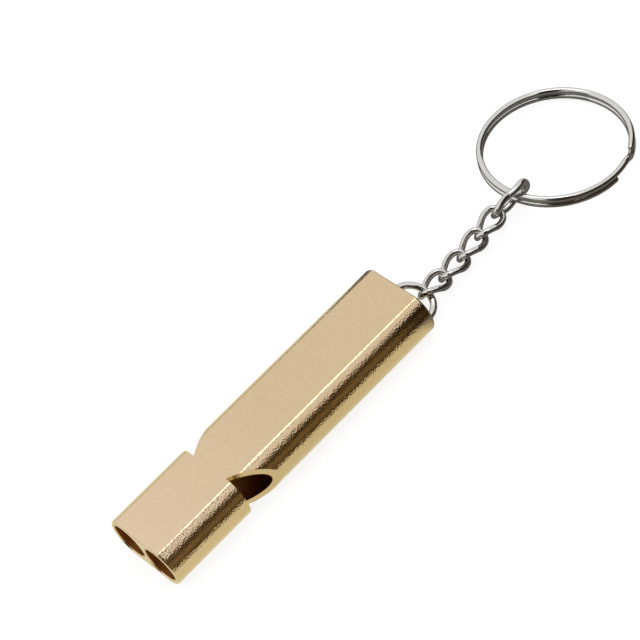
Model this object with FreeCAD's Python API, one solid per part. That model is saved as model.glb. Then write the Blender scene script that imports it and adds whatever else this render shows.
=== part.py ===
import FreeCAD, Part

import math
import os

# Survival whistle: a flat two-tube whistle sawn from an aluminium extrusion, with a jump ring, a curb chain,
# an end link and a split key ring.
# Millimetres. The origin is the centre of the body's underside, +X runs from the mouth to the tail, +Z is up.
# Left is +Y and right is -Y, as seen along +X.

Vector = FreeCAD.Vector
X_AXIS = Vector(1, 0, 0)
Y_AXIS = Vector(0, 1, 0)
Z_AXIS = Vector(0, 0, 1)

# Body: driving dimensions
BODY_LENGTH = 60.0
BODY_WIDTH = 15.5
BODY_HEIGHT = 8.5
FLANK_BULGE = 2.75  # how far a rounded flank stands out beyond the flats
FLAT_EDGE_RADIUS = 0.8  # soft edge where a flat meets a flank
END_EDGE_RADIUS = 0.45  # tumbled edge round the two sawn ends
FLANK_WALL = 0.75  # thinnest metal between a bore and its flank
WEB = 0.8  # thinnest metal between the two bores
BORE_CHAMFER = 0.25

# Windows and their ramps
WINDOW_FROM_MOUTH = 16.4
WINDOW_WALL_DEPTH = 4.0  # measured in from the widest line of the flank
RAMP_ANGLE = 29.0

# Jump ring and the hole that carries it
RING_HOLE_RADIUS = 1.25
RING_HOLE_FROM_TAIL = 2.6
JUMP_RING_WIRE = 1.2
JUMP_RING_SWING = 26.0  # how far it has slid round to the right
JUMP_RING_DROOP = 17.0
JUMP_RING_ROLL = 12.0  # its left side leans up, as the first link pulls it
JUMP_RING_SEAM = 0.14
SEAM_AZIMUTH = 215.0  # turned into the right bore, away from the chain

# Plugs
PLUG_RECESS = 1.6
PLUG_CHAMFER = 0.2
WINDWAY_HEIGHT = 1.1
STOP_LENGTH = 3.0
STOP_FROM_TAIL = {"left": 10.6, "right": 15.1}  # two depths, so that the two tubes sound two tones

# Curb chain
LINK_PITCH = 4.85
LINK_WIDTH = 4.7
LINK_WIRE = 1.1
LINK_TWIST = 45.0  # each end is turned this far out of the link's middle plane, the two ends opposite ways
LINK_SIDE_SLOPE = 34.0
LINK_PLAY = 0.06  # between touching wires
LINK_SEAM = 0.09

# End link
END_LINK_LENGTH = 8.8
END_LINK_WIDTH = 5.9
END_LINK_WIRE = 1.2
END_LINK_TWIST = 18.0
END_LINK_ROLL = -70.0  # turns its middle plane about its own axis, so that its far end stands nearly upright
END_LINK_SIDE_SLOPE = 8.0

# Split ring
SPLIT_RING_OUTER = 27.0
SPLIT_RING_WIRE = 1.1
TURN_PLAY = 0.06
RING_SEAT = 1.0  # how far the middle of the ring's wires lies ahead of the end link's middle
RING_SAG = 0.3  # and how far below it, on the link's lower side
RING_CONTACT_TURN = 10.0  # the end link meets the ring this far round from the line of the body
LOWER_END_AZIMUTH = -88.0  # free end of the lower turn
CROSSOVER_START = -58.0  # the crossover runs clockwise from here, beside the upper turn's free end
CROSSOVER_SWEEP = 17.0

# How the chain lies: heading and rise of each link, in degrees
LINK_HEADINGS = (1.0, 4.0, 3.0, 1.0)
LINK_RISES = (-7.0, 0.0, 6.0, 10.0)
LINK_ROLL = -12.0
END_LINK_HEADING = -8.0
END_LINK_RISE = 12.0
GROUND_PLAY = 0.02  # under the key ring's far side

FLAT_TO = 1e-6  # a smaller extent counts as none
CUT_MARGIN = 1.0  # how far a cutting solid runs past the metal
HALF_TURN = 180.0

# Worked out
FLAT_WIDTH = BODY_WIDTH - 2 * FLANK_BULGE
BORE_RADIUS = (BODY_WIDTH / 2 - FLANK_WALL - WEB / 2) / 2
BORE_SPACING = 2 * BORE_RADIUS + WEB
JUMP_RING_RADIUS = BORE_SPACING / 2  # to the middle of the wire, so that each side can leave by a bore's middle
LINK_LENGTH = LINK_PITCH + LINK_PLAY + 2 * LINK_WIRE
SPLIT_RING_RADIUS = (SPLIT_RING_OUTER - SPLIT_RING_WIRE) / 2  # to the middle of the wire
TURN_LEVEL = (SPLIT_RING_WIRE + TURN_PLAY) / 2  # of each turn, from the ring's middle plane


def polar(azimuth, radius=1.0):
    angle = math.radians(azimuth)
    return Vector(radius * math.cos(angle), radius * math.sin(angle), 0)


def heading_placement(origin, heading, rise, roll=0.0):
    """Frame whose X axis points along the heading and rise, rolled about that axis."""
    turn = FreeCAD.Rotation(Z_AXIS, heading)
    turn = turn.multiply(FreeCAD.Rotation(Y_AXIS, -rise))
    turn = turn.multiply(FreeCAD.Rotation(X_AXIS, roll))
    return FreeCAD.Placement(origin, turn)


def placed(shape, placement):
    moved = shape.copy()
    moved.Placement = placement.multiply(moved.Placement)
    return moved


def edges_across(shape):
    """Edges that lie in one plane across the body's length, such as the rims of a cylinder along X."""
    return [edge for edge in shape.Edges if edge.BoundBox.XLength < FLAT_TO]


# Body


def flank_arc(side):
    """One rounded flank of the section, from the upper flat's edge to the lower one's."""
    half_flat = side * FLAT_WIDTH / 2
    return Part.Arc(
        Vector(0, half_flat, BODY_HEIGHT),
        Vector(0, side * BODY_WIDTH / 2, BODY_HEIGHT / 2),
        Vector(0, half_flat, 0),
    ).toShape()


def extruded_bar():
    half_flat = FLAT_WIDTH / 2
    top = Part.makeLine(Vector(0, half_flat, BODY_HEIGHT), Vector(0, -half_flat, BODY_HEIGHT))
    bottom = Part.makeLine(Vector(0, half_flat, 0), Vector(0, -half_flat, 0))
    outline = Part.Wire(Part.__sortEdges__([top, flank_arc(-1), bottom, flank_arc(1)]))
    bar = Part.Face(outline).extrude(Vector(BODY_LENGTH, 0, 0))
    bar.translate(Vector(-BODY_LENGTH / 2, 0, 0))
    long_edges = [edge for edge in bar.Edges if abs(edge.Length - BODY_LENGTH) < FLAT_TO]
    bar = bar.makeFillet(FLAT_EDGE_RADIUS, long_edges)
    return bar.makeFillet(END_EDGE_RADIUS, edges_across(bar))


def bore(side):
    """A bore right through the bar, with both its mouths chamfered."""
    centre = Vector(-BODY_LENGTH / 2, side * BORE_SPACING / 2, BODY_HEIGHT / 2)
    tool = Part.makeCylinder(BORE_RADIUS, BODY_LENGTH, centre, X_AXIS)
    mouth_radius = BORE_RADIUS + BORE_CHAMFER
    mouth = Part.makeCone(mouth_radius, BORE_RADIUS, BORE_CHAMFER, centre, X_AXIS)
    tail = Part.makeCone(mouth_radius, BORE_RADIUS, BORE_CHAMFER, centre + X_AXIS * BODY_LENGTH, -X_AXIS)
    return tool.multiFuse([mouth, tail])


def window_cut(side):
    """The notch sawn in a flank: a square wall on the mouth's side and a plane ramp on the tail's."""
    wall_x = WINDOW_FROM_MOUTH - BODY_LENGTH / 2
    root_y = BODY_WIDTH / 2 - WINDOW_WALL_DEPTH
    outside_y = BODY_WIDTH / 2 + CUT_MARGIN
    ramp_run = (outside_y - root_y) / math.tan(math.radians(RAMP_ANGLE))
    corners = [
        Vector(wall_x, side * root_y, -CUT_MARGIN),
        Vector(wall_x, side * outside_y, -CUT_MARGIN),
        Vector(wall_x + ramp_run, side * outside_y, -CUT_MARGIN),
    ]
    profile = Part.Face(Part.makePolygon(corners + corners[:1]))
    return profile.extrude(Z_AXIS * (BODY_HEIGHT + 2 * CUT_MARGIN))


def ring_hole():
    """Drilled in from the left flank, across the left bore and through the web."""
    start = Vector(BODY_LENGTH / 2 - RING_HOLE_FROM_TAIL, BODY_WIDTH / 2 + CUT_MARGIN, BODY_HEIGHT / 2)
    depth = BODY_WIDTH / 2 + CUT_MARGIN + WEB
    return Part.makeCylinder(RING_HOLE_RADIUS, depth, start, -Y_AXIS)


def whistle_body():
    cuts = [bore(-1), bore(1), window_cut(-1), window_cut(1), ring_hole()]
    return extruded_bar().cut(cuts)


# Plugs


def windway_plug(side):
    """Pressed in from the mouth and flush with the window's wall; its flat is the floor of the windway."""
    start_x = PLUG_RECESS - BODY_LENGTH / 2
    length = WINDOW_FROM_MOUTH - PLUG_RECESS
    axis_point = Vector(start_x, side * BORE_SPACING / 2, BODY_HEIGHT / 2)
    plug = Part.makeCylinder(BORE_RADIUS, length, axis_point, X_AXIS)
    mouth_rim = [edge for edge in edges_across(plug) if edge.CenterOfMass.x < start_x + FLAT_TO]
    plug = plug.makeChamfer(PLUG_CHAMFER, mouth_rim)
    floor_y = BORE_RADIUS - WINDWAY_HEIGHT
    channel = Part.makeBox(length, BORE_RADIUS, 2 * BORE_RADIUS)
    low_y = floor_y if side > 0 else -floor_y - BORE_RADIUS
    channel.translate(axis_point + Vector(0, low_y, -BORE_RADIUS))
    return plug.cut(channel)


def stop_plug(side, name):
    """A disc across the bore that sets the length of its air column."""
    start_x = BODY_LENGTH / 2 - STOP_FROM_TAIL[name] - STOP_LENGTH
    axis_point = Vector(start_x, side * BORE_SPACING / 2, BODY_HEIGHT / 2)
    plug = Part.makeCylinder(BORE_RADIUS, STOP_LENGTH, axis_point, X_AXIS)
    return plug.makeChamfer(PLUG_CHAMFER, edges_across(plug))


# Bent wire: every piece of the chain is round wire along tangent arcs


def biarc(start, start_direction, end, end_direction):
    """Two arcs that leave the start and reach the end along the given directions, tangent where they meet."""
    chord = end - start
    directions = start_direction + end_direction
    a = 2 * (1 - start_direction.dot(end_direction))
    b = 2 * chord.dot(directions)
    leg = (-b + math.sqrt(b * b + 4 * a * chord.dot(chord))) / (2 * a)
    start_corner = start + start_direction * leg
    end_corner = end - end_direction * leg
    joint = (start_corner + end_corner) / 2
    return [(start, start_direction, joint), (joint, (end_corner - joint).normalize(), end)]


def arc_of_wire(start, direction, end, radius):
    """Round wire bent to the one arc that leaves the start along the direction and passes through the end."""
    chord = end - start
    axis = direction.cross(chord).normalize()
    inward = axis.cross(direction)
    bend = chord.dot(chord) / (2 * chord.dot(inward))
    centre = start + inward * bend
    across = (end - centre).dot(inward * -1)
    along = (end - centre).dot(direction)
    sweep = math.degrees(math.atan2(along, across)) % 360
    section = Part.Face(Part.Wire(Part.makeCircle(radius, start, direction)))
    return section.revolve(centre, axis, sweep)


def bent_wire(arcs, radius):
    """One solid from a list of arcs that are tangent to each other."""
    pieces = [arc_of_wire(*arc, radius) for arc in arcs]
    return pieces[0].multiFuse(pieces[1:]).removeSplitter()


def half_turned(point, about):
    """A point or direction after half a turn about a coordinate axis."""
    return about * (2 * point.dot(about)) - point


def twisted_link(length, width, wire, twist, side_slope, seam):
    """Chain link about the origin, along X. The far end is turned by +twist and the near end by -twist."""
    tip = Vector((length - wire) / 2, 0, 0)
    side = Vector(0, (width - wire) / 2, 0)
    turn = math.radians(twist)
    slope = math.radians(side_slope)
    tip_direction = Vector(0, math.cos(turn), math.sin(turn))
    side_direction = Vector(-math.cos(slope), 0, -math.sin(slope))
    quarter = biarc(tip, tip_direction, side, side_direction)
    arcs = list(quarter)
    for about in (X_AXIS, Y_AXIS, Z_AXIS):
        arcs += [tuple(half_turned(part, about) for part in arc) for arc in quarter]
    link = bent_wire(arcs, wire / 2)
    saw = Part.makeBox(seam, 2 * wire, 2 * wire, Vector(-seam / 2, -wire, -wire))
    saw.rotate(Vector(0, 0, 0), Y_AXIS, side_slope)
    saw.translate(-side)
    return link.cut(saw)


# Where the chain lies, from the tail to the key ring


def jump_ring_placement():
    """The ring's frame: origin at its centre, X from the hole in the web to the ring's outer tip."""
    hole = Vector(BODY_LENGTH / 2 - RING_HOLE_FROM_TAIL, 0, BODY_HEIGHT / 2)
    at_hole = heading_placement(hole, -JUMP_RING_SWING, -JUMP_RING_DROOP, JUMP_RING_ROLL)
    return at_hole.multiply(FreeCAD.Placement(X_AXIS * JUMP_RING_RADIUS, FreeCAD.Rotation()))


def jump_ring_hook():
    """Where the first link pulls: the point of the ring's wire that faces along the link."""
    azimuth = LINK_HEADINGS[0] + JUMP_RING_SWING
    return jump_ring_placement().multVec(polar(azimuth, JUMP_RING_RADIUS))


def link_half(length, wire):
    return (length - wire) / 2


def hooked(held_tip, held_wire, length, wire, heading, rise, roll=0.0):
    """Placement of a link whose near end hooks the wire that passes through held_tip."""
    frame = heading_placement(held_tip, heading, rise, roll)
    back = (held_wire + wire) / 2 + LINK_PLAY
    return frame.multiply(FreeCAD.Placement(X_AXIS * (link_half(length, wire) - back), FreeCAD.Rotation()))


def chain_placements():
    """Placements of the chain links and then the end link."""
    tip = jump_ring_hook()
    held_wire = JUMP_RING_WIRE
    placements = []
    for heading, rise in zip(LINK_HEADINGS, LINK_RISES):
        link = hooked(tip, held_wire, LINK_LENGTH, LINK_WIRE, heading, rise, LINK_ROLL)
        placements.append(link)
        tip = link.multVec(X_AXIS * link_half(LINK_LENGTH, LINK_WIRE))
        held_wire = LINK_WIRE
    placements.append(
        hooked(
            tip,
            held_wire,
            END_LINK_LENGTH,
            END_LINK_WIRE,
            END_LINK_HEADING,
            END_LINK_RISE,
            END_LINK_ROLL,
        )
    )
    return placements


def split_ring_placement():
    """The ring's frame: origin at its centre, Z along its axis. The end link holds one side up and the far
    side rests on the ground, which gives the tilt."""
    end_link = chain_placements()[-1]
    contact = end_link.multVec(X_AXIS * RING_SEAT) - Z_AXIS * RING_SAG
    span = SPLIT_RING_RADIUS * (1 + math.cos(math.radians(RING_CONTACT_TURN)))
    height = contact.z - SPLIT_RING_WIRE / 2 - GROUND_PLAY
    tilt_angle = math.asin(height / math.hypot(span, TURN_LEVEL)) - math.atan2(TURN_LEVEL, span)
    tilt = FreeCAD.Rotation(Y_AXIS, math.degrees(tilt_angle))
    centre = contact + tilt.multVec(polar(RING_CONTACT_TURN, SPLIT_RING_RADIUS))
    return FreeCAD.Placement(centre, tilt)


# Chain pieces in their own frames


def jump_ring():
    """Round wire bent to a circle, its two ends butted but for a hairline."""
    ring = Part.makeTorus(JUMP_RING_RADIUS, JUMP_RING_WIRE / 2)
    saw = Part.makeBox(2 * JUMP_RING_WIRE, JUMP_RING_SEAM, 2 * JUMP_RING_WIRE)
    saw.translate(Vector(-JUMP_RING_WIRE, -JUMP_RING_SEAM / 2, -JUMP_RING_WIRE))
    saw.translate(X_AXIS * JUMP_RING_RADIUS)
    saw.rotate(Vector(0, 0, 0), Z_AXIS, SEAM_AZIMUTH)
    return ring.cut(saw)


def clockwise(azimuth):
    """Direction of travel along the ring's wire, seen from above."""
    return polar(azimuth - 90.0)


def turn_of_wire(start_azimuth, end_azimuth, level):
    """Two arcs that run clockwise at one level and meet half way round."""
    middle_azimuth = start_azimuth - HALF_TURN
    azimuths = (start_azimuth, middle_azimuth, end_azimuth)
    start, middle, end = [polar(azimuth, SPLIT_RING_RADIUS) + Z_AXIS * level for azimuth in azimuths]
    return [(start, clockwise(start_azimuth), middle), (middle, clockwise(middle_azimuth), end)]


def split_ring():
    """Two turns of round wire joined by a crossover. It starts at the lower turn's free end, runs clockwise
    under itself to the crossover, rises there and runs clockwise to the upper turn's free end."""
    crossover_end = CROSSOVER_START - CROSSOVER_SWEEP
    lower = turn_of_wire(LOWER_END_AZIMUTH, CROSSOVER_START, -TURN_LEVEL)
    upper = turn_of_wire(crossover_end, CROSSOVER_START, TURN_LEVEL)
    rise_start = lower[-1][-1]
    rise_end = upper[0][0]
    crossover = biarc(rise_start, clockwise(CROSSOVER_START), rise_end, clockwise(crossover_end))
    ring = bent_wire(lower + crossover + upper, SPLIT_RING_WIRE / 2)
    free_ends = (lower[0][0], upper[-1][-1])
    tips = [Part.makeSphere(SPLIT_RING_WIRE / 2, end) for end in free_ends]
    return ring.multiFuse(tips).removeSplitter()


def build():
    nodes = {
        "whistle_body": whistle_body(),
        "windway_plug_left": windway_plug(1),
        "windway_plug_right": windway_plug(-1),
        "stop_plug_left": stop_plug(1, "left"),
        "stop_plug_right": stop_plug(-1, "right"),
        "jump_ring": placed(jump_ring(), jump_ring_placement()),
        "split_ring": placed(split_ring(), split_ring_placement()),
    }
    *links, end_place = chain_placements()
    link = twisted_link(LINK_LENGTH, LINK_WIDTH, LINK_WIRE, LINK_TWIST, LINK_SIDE_SLOPE, LINK_SEAM)
    for number, place in enumerate(links, 1):
        nodes[f"chain_link_{number}"] = placed(link, place)
    end_link = twisted_link(
        END_LINK_LENGTH,
        END_LINK_WIDTH,
        END_LINK_WIRE,
        -END_LINK_TWIST,
        END_LINK_SIDE_SLOPE,
        LINK_SEAM,
    )
    nodes["end_link"] = placed(end_link, end_place)
    return nodes


os.makedirs("parts", exist_ok=True)
for name, shape in build().items():
    shape.exportStep(f"parts/{name}.step")
    print(name, shape.ShapeType, len(shape.Solids), shape.isValid(), round(shape.Volume, 2))
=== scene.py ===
import math

import bmesh
import bpy
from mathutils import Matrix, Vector


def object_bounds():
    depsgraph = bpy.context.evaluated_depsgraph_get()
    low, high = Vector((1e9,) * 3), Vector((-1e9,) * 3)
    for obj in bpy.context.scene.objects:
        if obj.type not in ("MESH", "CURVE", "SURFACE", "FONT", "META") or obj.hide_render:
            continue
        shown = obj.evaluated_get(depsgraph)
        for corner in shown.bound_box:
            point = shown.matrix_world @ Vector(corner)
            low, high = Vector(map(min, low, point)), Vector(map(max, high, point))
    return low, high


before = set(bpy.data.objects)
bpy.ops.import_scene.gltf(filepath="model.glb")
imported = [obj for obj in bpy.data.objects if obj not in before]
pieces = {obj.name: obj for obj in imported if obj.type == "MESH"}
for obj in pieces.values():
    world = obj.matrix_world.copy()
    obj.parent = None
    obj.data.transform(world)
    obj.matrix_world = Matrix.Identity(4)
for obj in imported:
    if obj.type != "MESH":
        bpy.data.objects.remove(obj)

cad_low, cad_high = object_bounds()


# Camera: a long lens high over the mouth end's right side, turned about its line of sight so that the whistle
# runs up the picture from bottom left to top right.

camera_data = bpy.data.cameras.new("camera")
camera_data.lens = 140.6
camera_data.sensor_width = 36.0
camera = bpy.data.objects.new("camera", camera_data)
camera.location = (-0.1028, -0.2230, 0.3222)
camera.rotation_euler = [math.radians(turn) for turn in (37.25, 14.01, -45.43)]
bpy.context.scene.collection.objects.link(camera)
bpy.context.scene.camera = camera


# Whistle body: a bar of extruded aluminium, sawn to length, bead-blasted and then anodised pale gold. Inside
# the long bores the drawn walls are painted a dull, dark bronze: painted shade of the deep bores.

BORE_RADIUS = 0.0033
BORE_OFFSET = 0.0037
BODY_MIDDLE = 0.00425
BORE_MARGIN = 0.00005
FLAT_MARGIN = 0.0001
DIMPLE_WIDTH = 0.00028
DIMPLE_DEPTH = 0.00003
FLAT_DIMPLES = 0.35
SKIN_ROUGHNESS = 0.09
BORE_ROUGHNESS = 0.50


def linear(colour):
    """Linear red, green, blue and alpha of an sRGB hex value."""
    channels = [int(colour[start:start + 2], 16) / 255 for start in (1, 3, 5)]
    curved = [c / 12.92 if c <= 0.04045 else ((c + 0.055) / 1.055) ** 2.4 for c in channels]
    return (*curved, 1.0)


def add_node(tree, kind, settings=(), inputs=(), links=()):
    """Adds a node, sets its properties and inputs, and links its inputs to other nodes' outputs."""
    node = tree.nodes.new(kind)
    for name, value in dict(settings).items():
        setattr(node, name, value)
    for name, value in dict(inputs).items():
        node.inputs[name].default_value = value
    for name, output in dict(links).items():
        tree.links.new(output, node.inputs[name])
    return node


def new_finish(name):
    """An empty material, and its tree with a surface shader joined to the output."""
    finish = bpy.data.materials.new(name)
    finish.use_nodes = True
    finish.node_tree.nodes.clear()
    tree = finish.node_tree
    shader = add_node(tree, "ShaderNodeBsdfPrincipled")
    add_node(tree, "ShaderNodeOutputMaterial", links={"Surface": shader.outputs["BSDF"]})
    return finish, tree, shader


def paint(piece, finish):
    """Puts the finish in each of the piece's material slots."""
    for slot in piece.material_slots:
        slot.material = finish


# Anodised aluminium, bead-blasted: the glass beads' shallow dimples break every reflection into grain and
# take the dye unevenly. They are drawn 0.28 mm across, coarser than the real 0.1 mm, so that they show.
gold, tree, shader = new_finish("gold anodised aluminium, bead-blasted")
place = add_node(tree, "ShaderNodeTexCoord").outputs["Object"]
grain = add_node(
    tree,
    "ShaderNodeTexNoise",
    inputs={"Scale": 1 / DIMPLE_WIDTH, "Detail": 1.0},
    links={"Vector": place},
)
axes = add_node(tree, "ShaderNodeSeparateXYZ", links={"Vector": place})
# The skin darkens from the mouth to the middle and stays so to the tail: painted shade along the top.
along = add_node(
    tree,
    "ShaderNodeMapRange",
    inputs={"From Min": cad_low.x, "From Max": 0.0},
    links={"Value": axes.outputs["X"]},
)
skin_shaded_to_tail = add_node(
    tree,
    "ShaderNodeMix",
    {"data_type": "RGBA"},
    {"A": linear("#dec5a6"), "B": linear("#d4bb98")},
    {"Factor": along.outputs["Result"]},
)
uneven = add_node(
    tree,
    "ShaderNodeMapRange",
    inputs={"To Min": 0.87, "To Max": 1.13},
    links={"Value": grain.outputs["Fac"]},
)
dyed = add_node(
    tree,
    "ShaderNodeHueSaturation",
    links={"Color": skin_shaded_to_tail.outputs["Result"], "Value": uneven.outputs["Result"]},
)

# A point belongs to a bore's wall where it is no further from that bore's axis than the bore's radius.
side = add_node(tree, "ShaderNodeMath", {"operation": "ABSOLUTE"}, links={0: axes.outputs["Y"]})
folded = add_node(tree, "ShaderNodeCombineXYZ", links={"Y": side.outputs[0], "Z": axes.outputs["Z"]})
from_axis = add_node(
    tree,
    "ShaderNodeVectorMath",
    {"operation": "DISTANCE"},
    {1: (0.0, BORE_OFFSET, BODY_MIDDLE)},
    {0: folded.outputs[0]},
)
in_bore = add_node(
    tree,
    "ShaderNodeMath",
    {"operation": "LESS_THAN"},
    {1: BORE_RADIUS + BORE_MARGIN},
    {0: from_axis.outputs["Value"]},
)
# The bores' walls take the dark bronze: painted shade inside the deep bores.
colour = add_node(
    tree,
    "ShaderNodeMix",
    {"data_type": "RGBA"},
    {"B": linear("#a87440")},
    {"Factor": in_bore.outputs[0], "A": dyed.outputs["Color"]},
)
tree.links.new(colour.outputs["Result"], shader.inputs["Base Color"])
shader.inputs["Metallic"].default_value = 1.0
rough = add_node(
    tree,
    "ShaderNodeMapRange",
    inputs={"To Min": SKIN_ROUGHNESS, "To Max": BORE_ROUGHNESS},
    links={"Value": in_bore.outputs[0]},
)
tree.links.new(rough.outputs["Result"], shader.inputs["Roughness"])

# The two flats are ground before blasting, so their dimples are only a third as deep as the flanks'.
height = add_node(tree, "ShaderNodeMath", {"operation": "SUBTRACT"}, {1: BODY_MIDDLE}, {0: axes.outputs["Z"]})
from_middle = add_node(tree, "ShaderNodeMath", {"operation": "ABSOLUTE"}, links={0: height.outputs[0]})
depth = add_node(
    tree,
    "ShaderNodeMapRange",
    inputs={
        "From Min": BODY_MIDDLE - FLAT_MARGIN,
        "From Max": BODY_MIDDLE,
        "To Min": 1.0,
        "To Max": FLAT_DIMPLES,
    },
    links={"Value": from_middle.outputs[0]},
)
beads = add_node(
    tree,
    "ShaderNodeTexVoronoi",
    inputs={"Scale": 1 / DIMPLE_WIDTH},
    links={"Vector": place},
)
dimples = add_node(
    tree,
    "ShaderNodeBump",
    inputs={"Distance": DIMPLE_DEPTH},
    links={"Height": beads.outputs["Distance"], "Strength": depth.outputs["Result"]},
)
tree.links.new(dimples.outputs["Normal"], shader.inputs["Normal"])
paint(pieces["whistle_body"], gold)


# Plugs: turned from aluminium bar and pressed in before anodising, so they take the same gold. The lathe tool
# leaves rings on their faces, drawn 0.4 mm apart, coarser than the real 0.1 mm, so that they show.

TOOL_FEED = 0.0004
RIDGE_HEIGHT = 0.00002

plug_gold, tree, shader = new_finish("gold anodised aluminium, turned")
place = add_node(tree, "ShaderNodeTexCoord").outputs["Object"]
axes = add_node(tree, "ShaderNodeSeparateXYZ", links={"Vector": place})
side = add_node(tree, "ShaderNodeMath", {"operation": "ABSOLUTE"}, links={0: axes.outputs["Y"]})
folded = add_node(tree, "ShaderNodeCombineXYZ", links={"Y": side.outputs[0], "Z": axes.outputs["Z"]})
from_axis = add_node(
    tree,
    "ShaderNodeVectorMath",
    {"operation": "SUBTRACT"},
    {1: (0.0, BORE_OFFSET, BODY_MIDDLE)},
    {0: folded.outputs[0]},
)

# Blender's rings stand a tenth of pi apart at a scale of 1.
tool_marks = add_node(
    tree,
    "ShaderNodeTexWave",
    {"wave_type": "RINGS", "rings_direction": "X"},
    {"Scale": 0.1 * math.pi / TOOL_FEED, "Distortion": 0.3, "Detail": 1.0},
    {"Vector": from_axis.outputs["Vector"]},
)
ridges = add_node(
    tree,
    "ShaderNodeBump",
    inputs={"Strength": 0.3, "Distance": RIDGE_HEIGHT},
    links={"Height": tool_marks.outputs["Fac"]},
)
tree.links.new(ridges.outputs["Normal"], shader.inputs["Normal"])
shader.inputs["Base Color"].default_value = linear("#d9bd84")
shader.inputs["Metallic"].default_value = 1.0
shader.inputs["Roughness"].default_value = 0.22
for name in ("windway_plug_left", "windway_plug_right", "stop_plug_left", "stop_plug_right"):
    paint(pieces[name], plug_gold)


# Chain and rings: mild steel wire for the chain, spring steel for the key ring, bent round formers and
# nickel-plated together in a tumbling barrel, which leaves them bright with faint, shallow knocks.

KNOCK_WIDTH = 0.0012
KNOCK_DEPTH = 0.00005

nickel, tree, shader = new_finish("bright nickel plate on steel wire")
place = add_node(tree, "ShaderNodeTexCoord").outputs["Object"]
knocks = add_node(
    tree,
    "ShaderNodeTexNoise",
    inputs={"Scale": 1 / KNOCK_WIDTH, "Detail": 2.0},
    links={"Vector": place},
)
waviness = add_node(
    tree,
    "ShaderNodeBump",
    inputs={"Strength": 0.5, "Distance": KNOCK_DEPTH},
    links={"Height": knocks.outputs["Fac"]},
)
dulled = add_node(
    tree,
    "ShaderNodeMapRange",
    inputs={"To Min": 0.04, "To Max": 0.14},
    links={"Value": knocks.outputs["Fac"]},
)
tree.links.new(waviness.outputs["Normal"], shader.inputs["Normal"])
tree.links.new(dulled.outputs["Result"], shader.inputs["Roughness"])
shader.inputs["Base Color"].default_value = linear("#d2d0cc")
shader.inputs["Metallic"].default_value = 1.0
chain = ["chain_link_1", "chain_link_2", "chain_link_3", "chain_link_4"]
for name in ["jump_ring", *chain, "end_link", "split_ring"]:
    paint(pieces[name], nickel)


# Table: a sheet of white paper. In the metal's reflections it glows with a painted reflection, darker than
# the sky: cream beside the body, painted gold light from its flanks, and grey past the tail. From below it is
# clear, so that the underside can be looked at.

TABLE_SIZE = 6.0
GOLD_LIGHT_END = 0.029
PLAIN_LIGHT_START = 0.033

bpy.ops.mesh.primitive_plane_add(size=TABLE_SIZE)
table = bpy.context.object
table.name = "table"
paper, tree, shader = new_finish("white paper")
shader.inputs["Base Color"].default_value = linear("#e7e7e7")
shader.inputs["Roughness"].default_value = 0.9
rays = add_node(tree, "ShaderNodeLightPath").outputs

# What the camera sees: a dim paper, which keeps the object's shadow, and a glow that brings it up to white.
shaded = add_node(tree, "ShaderNodeBsdfDiffuse", inputs={"Color": linear("#959595")})
glow = add_node(tree, "ShaderNodeEmission", inputs={"Strength": 0.78})
white = add_node(tree, "ShaderNodeAddShader", links={0: shaded.outputs[0], 1: glow.outputs[0]})

# What the metal mirrors is a painted reflection: the paper glows cream, painted gold light, as far as the
# tail, and a darker grey, painted shade, past it.
place = add_node(tree, "ShaderNodeTexCoord").outputs["Object"]
axes = add_node(tree, "ShaderNodeSeparateXYZ", links={"Vector": place})
past_tail = add_node(
    tree,
    "ShaderNodeMapRange",
    inputs={"From Min": GOLD_LIGHT_END, "From Max": PLAIN_LIGHT_START},
    links={"Value": axes.outputs["X"]},
)
painted_reflection_tone = add_node(
    tree,
    "ShaderNodeMix",
    {"data_type": "RGBA"},
    {"A": linear("#eceacb"), "B": linear("#767371")},
    {"Factor": past_tail.outputs["Result"]},
)
painted_reflection_glow = add_node(tree, "ShaderNodeEmission", links={"Color": painted_reflection_tone.outputs["Result"]})
mirrored = add_node(
    tree,
    "ShaderNodeMixShader",
    links={"Fac": rays["Is Glossy Ray"], 1: shader.outputs["BSDF"], 2: painted_reflection_glow.outputs[0]},
)
surface = add_node(
    tree,
    "ShaderNodeMixShader",
    links={"Fac": rays["Is Camera Ray"], 1: mirrored.outputs[0], 2: white.outputs[0]},
)
underneath = add_node(tree, "ShaderNodeNewGeometry").outputs["Backfacing"]
clear = add_node(tree, "ShaderNodeBsdfTransparent")
sheet = add_node(
    tree,
    "ShaderNodeMixShader",
    links={"Fac": underneath, 1: surface.outputs[0], 2: clear.outputs[0]},
)
tree.links.new(sheet.outputs[0], tree.nodes["Material Output"].inputs["Surface"])
table.data.materials.append(paper)


# Dark cards, which the camera doesn't see: a low wall along the object's right side, whose reflection draws
# the dark band along the right flank, and three more further off, which draw the dark lines in the wire.

WALL_ROOM = 0.026
WALL_HEIGHT = 0.032
ROUNDING = 1e-7


def hide_from_view(card):
    """Leaves the card in reflections only."""
    card.visible_camera = False
    card.visible_shadow = False
    card.visible_diffuse = False


mesh = bpy.data.meshes.new("wall")
wall = bpy.data.objects.new("wall", mesh)
bpy.context.scene.collection.objects.link(wall)
foot = bmesh.new()
bmesh.ops.create_circle(foot, segments=96, radius=WALL_ROOM)
bmesh.ops.bisect_plane(
    foot,
    geom=foot.verts[:] + foot.edges[:],
    plane_co=(0.0, 0.0, 0.0),
    plane_no=(0.0, 1.0, 0.0),
    clear_outer=True,
)

# The half circle's middle corner stays in place, and its two quarters go out to the object's two ends.
for end in (cad_low.x, cad_high.x):
    quarter = [corner for corner in foot.verts if corner.co.x * end > ROUNDING]
    bmesh.ops.translate(foot, verts=quarter, vec=(end, 0.0, 0.0))
raised = bmesh.ops.extrude_edge_only(foot, edges=foot.edges[:])["geom"]
bmesh.ops.translate(
    foot,
    verts=[part for part in raised if isinstance(part, bmesh.types.BMVert)],
    vec=(0.0, 0.0, WALL_HEIGHT),
)
foot.to_mesh(mesh)
foot.free()
hide_from_view(wall)
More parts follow.
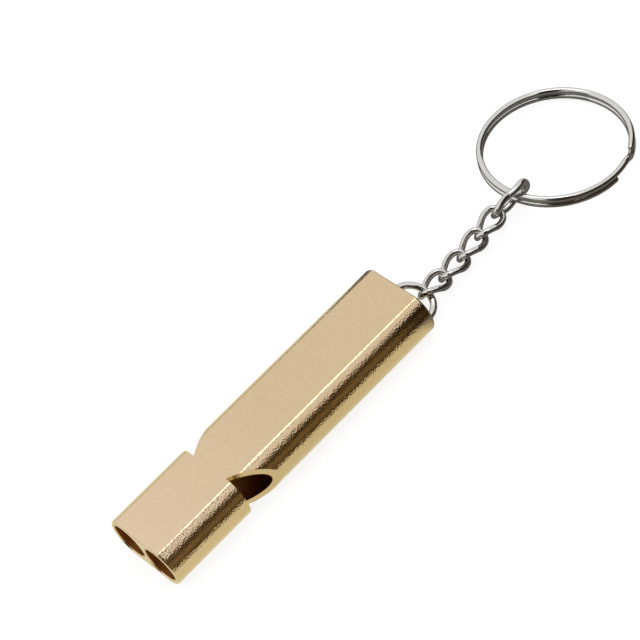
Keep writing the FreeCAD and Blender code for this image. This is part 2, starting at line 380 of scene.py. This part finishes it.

# The wall glows rather than being lit, with painted light and shade: dark brown, with a lighter stripe at a
# third of its height, fading to white at its top, and dimmer past the tail.
shade, tree, shader = new_finish("brown card glowing with painted light")
tree.nodes.remove(shader)
place = add_node(tree, "ShaderNodeTexCoord").outputs["Object"]
axes = add_node(tree, "ShaderNodeSeparateXYZ", links={"Vector": place})
level = add_node(
    tree,
    "ShaderNodeMapRange",
    inputs={"From Max": WALL_HEIGHT},
    links={"Value": axes.outputs["Z"]},
)
shades = add_node(tree, "ShaderNodeValToRGB", links={"Fac": level.outputs["Result"]})
tones = shades.color_ramp.elements
tones[0].color = linear("#594b34")
tones[1].color = linear("#ede7dd")
tones.new(0.14).color = linear("#554630")
tones.new(0.32).color = linear("#8a7650")
tones.new(0.50).color = linear("#50422d")
tones.new(0.72).color = linear("#453a27")
tones.new(0.84).color = linear("#a09586")
past_tail = add_node(
    tree,
    "ShaderNodeMapRange",
    inputs={"From Min": GOLD_LIGHT_END, "From Max": PLAIN_LIGHT_START, "To Min": 1.0, "To Max": 0.3},
    links={"Value": axes.outputs["X"]},
)
dim = add_node(
    tree,
    "ShaderNodeEmission",
    links={"Color": shades.outputs["Color"], "Strength": past_tail.outputs["Result"]},
)
tree.links.new(dim.outputs[0], tree.nodes["Material Output"].inputs["Surface"])
mesh.materials.append(shade)

black, tree, shader = new_finish("black card")
shader.inputs["Base Color"].default_value = linear("#1c1a18")
shader.inputs["Roughness"].default_value = 0.9
cards = (
    ("card behind the camera", (-0.20, -0.30, 0.44), 0.32, 0.90),
    ("card off the tail", (0.50, -0.05, 0.14), 0.30, 0.28),
    ("card off the mouth", (-0.50, -0.05, 0.14), 0.30, 0.28),
)
for name, place, width, height in cards:
    bpy.ops.mesh.primitive_plane_add(size=1.0, location=place)
    card = bpy.context.object
    card.name = name
    card.scale = (width, height, 1.0)
    card.rotation_euler = Vector(place).to_track_quat("Z", "Y").to_euler()
    card.data.materials.append(black)
    hide_from_view(card)


# Light: an even white sky and a softbox high behind the object, whose reflection is the bright line along
# the flat's right edge and on the tops of the wires.

SOFTBOX_SIZE = 0.22
SOFTBOX_PLACE = Vector((0.16, 0.12, 0.58))

softbox_data = bpy.data.lights.new("softbox", "AREA")
softbox_data.size = SOFTBOX_SIZE
softbox_data.energy = 0.30
softbox = bpy.data.objects.new("softbox", softbox_data)
softbox.location = SOFTBOX_PLACE
softbox.rotation_euler = SOFTBOX_PLACE.to_track_quat("Z", "Y").to_euler()
bpy.context.scene.collection.objects.link(softbox)
world = bpy.data.worlds.new("white sky")
bpy.context.scene.world = world
world.use_nodes = True
world.node_tree.nodes["Background"].inputs["Color"].default_value = linear("#ffffff")
world.node_tree.nodes["Background"].inputs["Strength"].default_value = 1.0

bpy.context.scene.view_settings.view_transform = "Standard"
